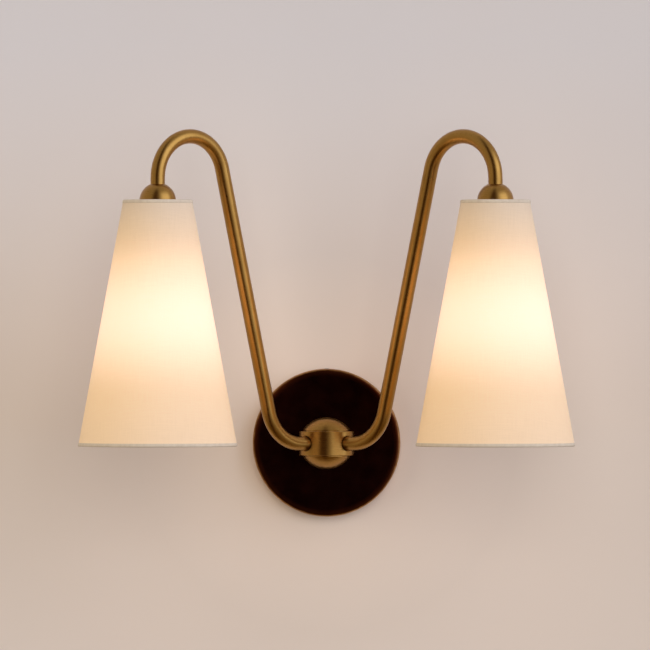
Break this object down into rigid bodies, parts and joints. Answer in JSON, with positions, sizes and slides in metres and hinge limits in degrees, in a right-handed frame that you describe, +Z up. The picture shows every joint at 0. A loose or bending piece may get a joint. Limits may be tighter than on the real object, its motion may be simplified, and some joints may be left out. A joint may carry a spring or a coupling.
{
  "type": "wall sconce",
  "caption": "Wall light with a round wall plate, a domed central hub and a swan-neck arm to each side, each carrying a downward lamp in a tapered linen shade.",
  "frame": {"origin": "middle of the two wall screws' pattern, at the centre of the round wall plate, on the wall", "axes": "+Y into the wall, +Z up, +X to the right as seen from the room"},
  "size_m": [0.4124, 0.2356, 0.3255],
  "materials": {
    "arm_brass": "hand-rubbed antique brass, satin, with fine brush lines",
    "plate_bronze": "oil-rubbed bronze, nearly black, burnished to brass at the rim",
    "zinc_steel": "zinc plated",
    "plain_brass": "plain, unplated",
    "white_moulding": "moulded",
    "lead_sheath": "extruded",
    "earth_sheath": "extruded",
    "black_moulding": "hard moulding, slightly glossy",
    "shade_linen": "off-white woven linen on a stiff liner",
    "trim_linen": "rolled linen edge",
    "fitter_steel": "white powder coat",
    "opal_glass": "frosted",
    "nickelled_brass": "nickel plated",
    "light_source": "glows"
  },
  "bodies": {
    "root": {"hub_body": "arm_brass", "hub_cap_top": "arm_brass", "hub_cap_bottom": "arm_brass", "neck": "arm_brass", "arm_left": "arm_brass", "arm_right": "arm_brass", "cup_left": "arm_brass", "cup_right": "arm_brass", "wall_plate": "plate_bronze", "wall_bracket": "zinc_steel", "rim_screws": "zinc_steel", "lock_washer": "zinc_steel", "neck_tube": "plain_brass", "plate_nut": "plain_brass", "hub_nut": "plain_brass", "earth_screw": "plain_brass", "terminal_clamps": "plain_brass", "block_screw": "plain_brass", "arm_nut_left": "plain_brass", "arm_nut_right": "plain_brass", "holder_tube_left": "plain_brass", "holder_tube_right": "plain_brass", "screw_shell_left": "plain_brass", "screw_shell_right": "plain_brass", "centre_contact_left": "plain_brass", "centre_contact_right": "plain_brass", "terminal_block": "white_moulding", "lead_left": "lead_sheath", "lead_right": "lead_sheath", "earth_wire": "earth_sheath", "holder_cap_left": "black_moulding", "holder_cap_right": "black_moulding", "holder_barrel_left": "black_moulding", "holder_barrel_right": "black_moulding"},
    "shade_left": {"shade_cone_left": "shade_linen", "shade_trim_left": "trim_linen", "shade_fitter_left": "fitter_steel", "shade_wire_left": "fitter_steel"},
    "ring_left": {"shade_ring_left": "black_moulding"},
    "lamp_left": {"lamp_glass_left": "opal_glass", "lamp_cap_left": "nickelled_brass", "lamp_tip_left": "black_moulding", "lamp_emitter_left": "light_source"},
    "shade_right": {"shade_cone_right": "shade_linen", "shade_trim_right": "trim_linen", "shade_fitter_right": "fitter_steel", "shade_wire_right": "fitter_steel"},
    "ring_right": {"shade_ring_right": "black_moulding"},
    "lamp_right": {"lamp_glass_right": "opal_glass", "lamp_cap_right": "nickelled_brass", "lamp_tip_right": "black_moulding", "lamp_emitter_right": "light_source"}
  },
  "joints": [
    {"name": "shade_left_drop", "type": "slide", "parent": "root", "child": "shade_left", "axis": [0, 0, -1], "range_m": [0, 0.01]},
    {"name": "ring_left_turn", "type": "hinge", "parent": "shade_left", "child": "ring_left", "pos_m": [-0.14, -0.16947, 0.1897], "axis": [0, 0, -1], "range_deg": [0, 1800]},
    {"name": "lamp_left_out", "type": "slide", "parent": "root", "child": "lamp_left", "axis": [0, 0, -1], "range_m": [0, 0.19]},
    {"name": "shade_right_drop", "type": "slide", "parent": "root", "child": "shade_right", "axis": [0, 0, -1], "range_m": [0, 0.01]},
    {"name": "ring_right_turn", "type": "hinge", "parent": "shade_right", "child": "ring_right", "pos_m": [0.14, -0.16947, 0.1897], "axis": [0, 0, -1], "range_deg": [0, 1800]},
    {"name": "lamp_right_out", "type": "slide", "parent": "root", "child": "lamp_right", "axis": [0, 0, -1], "range_m": [0, 0.19]}
  ],
  "couplings": [
    {"joint": "ring_left_turn", "follows": "shade_left_drop", "rad_per_m": 3141.6},
    {"joint": "ring_right_turn", "follows": "shade_right_drop", "rad_per_m": 3141.6}
  ]
}
